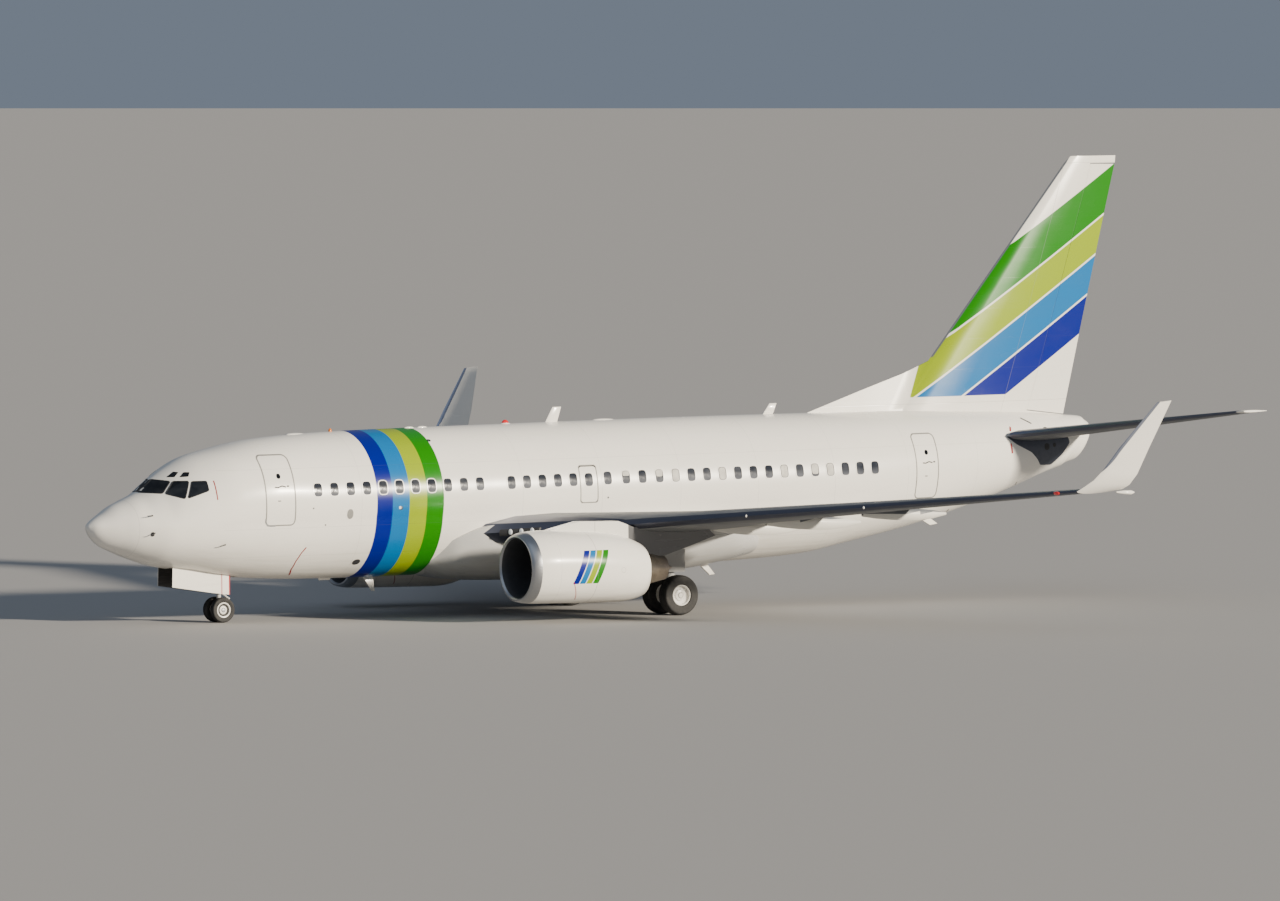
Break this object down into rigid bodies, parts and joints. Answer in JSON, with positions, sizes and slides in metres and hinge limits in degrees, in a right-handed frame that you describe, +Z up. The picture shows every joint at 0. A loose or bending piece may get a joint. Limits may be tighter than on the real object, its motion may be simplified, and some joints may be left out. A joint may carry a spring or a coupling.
{
  "type": "single-aisle twin-engine airliner",
  "caption": "Low-wing jet airliner parked on its gear, with blended winglets, steerable nose wheels, turning fans, control surfaces and opening overwing exits.",
  "frame": {"origin": "on the ground under the middle of the whole aircraft's length and span", "axes": "+X forward along the fuselage towards the nose, +Y to port, +Z up"},
  "size_m": [33.5988, 35.8284, 12.5304],
  "materials": {
    "white_paint": "gloss paint",
    "grey_paint": "satin paint",
    "green_paint": "gloss paint",
    "polished_metal": "polished",
    "dark_metal": "matt",
    "heat_stained_metal": "heat-stained",
    "fan_metal": "satin",
    "steel": "satin",
    "glass": "gloss",
    "tyre": "matt"
  },
  "bodies": {
    "airframe": {"fuselage": "white_paint", "radome": "white_paint", "tail_cone": "white_paint", "belly_fairing": "white_paint", "windscreen_left": "glass", "windscreen_right": "glass", "side_window_front_left": "glass", "side_window_front_right": "glass", "side_window_rear_left": "glass", "side_window_rear_right": "glass", "entry_door_front": "white_paint", "service_door_front": "white_paint", "entry_door_rear": "white_paint", "service_door_rear": "white_paint", "cargo_door_front": "white_paint", "cargo_door_rear": "white_paint", "wing_left": "grey_paint", "wing_right": "grey_paint", "winglet_left": "white_paint", "winglet_right": "white_paint", "flap_inboard_left": "grey_paint", "flap_inboard_right": "grey_paint", "flap_outboard_left": "grey_paint", "flap_outboard_right": "grey_paint", "fin": "white_paint", "pylon_left": "white_paint", "pylon_right": "white_paint", "intake_lip_left": "polished_metal", "intake_lip_right": "polished_metal", "fan_cowl_left": "white_paint", "fan_cowl_right": "white_paint", "thrust_sleeve_left": "white_paint", "thrust_sleeve_right": "white_paint", "engine_core_left": "dark_metal", "engine_core_right": "dark_metal", "exhaust_nozzle_left": "heat_stained_metal", "exhaust_nozzle_right": "heat_stained_metal", "nose_leg": "steel", "nose_door_left": "white_paint", "nose_door_right": "white_paint", "main_leg_left": "steel", "main_leg_right": "steel", "main_leg_door_left": "white_paint", "main_leg_door_right": "white_paint"},
    "stabiliser": {"stabiliser_left": "grey_paint", "stabiliser_right": "grey_paint"},
    "elevator_left": {"elevator_left": "grey_paint"},
    "elevator_right": {"elevator_right": "grey_paint"},
    "rudder": {"rudder": "green_paint"},
    "aileron_left": {"aileron_left": "grey_paint"},
    "aileron_right": {"aileron_right": "grey_paint"},
    "fan_left": {"fan_left": "fan_metal"},
    "fan_right": {"fan_right": "fan_metal"},
    "nose_steering": {"nose_steering": "steel"},
    "nose_wheels": {"nose_wheels": "tyre"},
    "main_wheels_left": {"main_wheels_left": "tyre"},
    "main_wheels_right": {"main_wheels_right": "tyre"},
    "overwing_exit_left": {"overwing_exit_left": "white_paint"},
    "overwing_exit_right": {"overwing_exit_right": "white_paint"}
  },
  "joints": [
    {"name": "nose_steer", "type": "hinge", "parent": "airframe", "child": "nose_steering", "pos_m": [12.74063, 0, 0.34297], "axis": [0.0122, 0, 0.9999], "range_deg": [-78, 78]},
    {"name": "nose_wheels_roll", "type": "hinge", "parent": "nose_steering", "child": "nose_wheels", "pos_m": [12.74063, 0, 0.34297], "axis": [0, 1, 0], "continuous": true},
    {"name": "main_wheels_roll_left", "type": "hinge", "parent": "airframe", "child": "main_wheels_left", "pos_m": [0.16225, 2.86, 0.55246], "axis": [0, 1, 0], "continuous": true},
    {"name": "main_wheels_roll_right", "type": "hinge", "parent": "airframe", "child": "main_wheels_right", "pos_m": [0.16225, -2.86, 0.55246], "axis": [0, 1, 0], "continuous": true},
    {"name": "fan_spin_left", "type": "hinge", "parent": "airframe", "child": "fan_left", "pos_m": [5.33442, 4.83, 1.51684], "axis": [0.9999, 0, -0.0122], "continuous": true},
    {"name": "fan_spin_right", "type": "hinge", "parent": "airframe", "child": "fan_right", "pos_m": [5.33442, -4.83, 1.51684], "axis": [0.9999, 0, -0.0122], "continuous": true},
    {"name": "aileron_left_hinge", "type": "hinge", "parent": "airframe", "child": "aileron_left", "pos_m": [-3.14029, 12.64, 3.39286], "axis": [-0.3024, 0.9487, 0.092], "range_deg": [-20, 20]},
    {"name": "aileron_right_hinge", "type": "hinge", "parent": "airframe", "child": "aileron_right", "pos_m": [-3.14029, -12.64, 3.39286], "axis": [0.3024, 0.9487, -0.092], "range_deg": [-20, 20]},
    {"name": "stabiliser_trim", "type": "hinge", "parent": "airframe", "child": "stabiliser", "pos_m": [-14.0787, 0, 4.65425], "axis": [0, 1, 0], "range_deg": [-4.2, 12.9]},
    {"name": "elevator_left_hinge", "type": "hinge", "parent": "stabiliser", "child": "elevator_left", "pos_m": [-14.25839, 1.25, 4.6805], "axis": [-0.3441, 0.9314, 0.1185], "range_deg": [-17, 21]},
    {"name": "elevator_right_hinge", "type": "hinge", "parent": "stabiliser", "child": "elevator_right", "pos_m": [-14.25839, -1.25, 4.6805], "axis": [0.3441, 0.9314, -0.1185], "range_deg": [-17, 21]},
    {"name": "rudder_hinge", "type": "hinge", "parent": "airframe", "child": "rudder", "pos_m": [-13.51355, 0, 5.31739], "axis": [-0.2983, 0, 0.9545], "range_deg": [-26, 26]},
    {"name": "overwing_exit_left_hinge", "type": "hinge", "parent": "airframe", "child": "overwing_exit_left", "pos_m": [2.16518, 1.72697, 4.05375], "axis": [0.9999, 0, -0.0122], "range_deg": [0, 100]},
    {"name": "overwing_exit_right_hinge", "type": "hinge", "parent": "airframe", "child": "overwing_exit_right", "pos_m": [2.16518, -1.72697, 4.05375], "axis": [-0.9999, 0, 0.0122], "range_deg": [0, 100]}
  ],
  "couplings": [
    {"joint": "aileron_right_hinge", "follows": "aileron_left_hinge", "ratio": -1},
    {"joint": "elevator_right_hinge", "follows": "elevator_left_hinge", "ratio": 1}
  ]
}
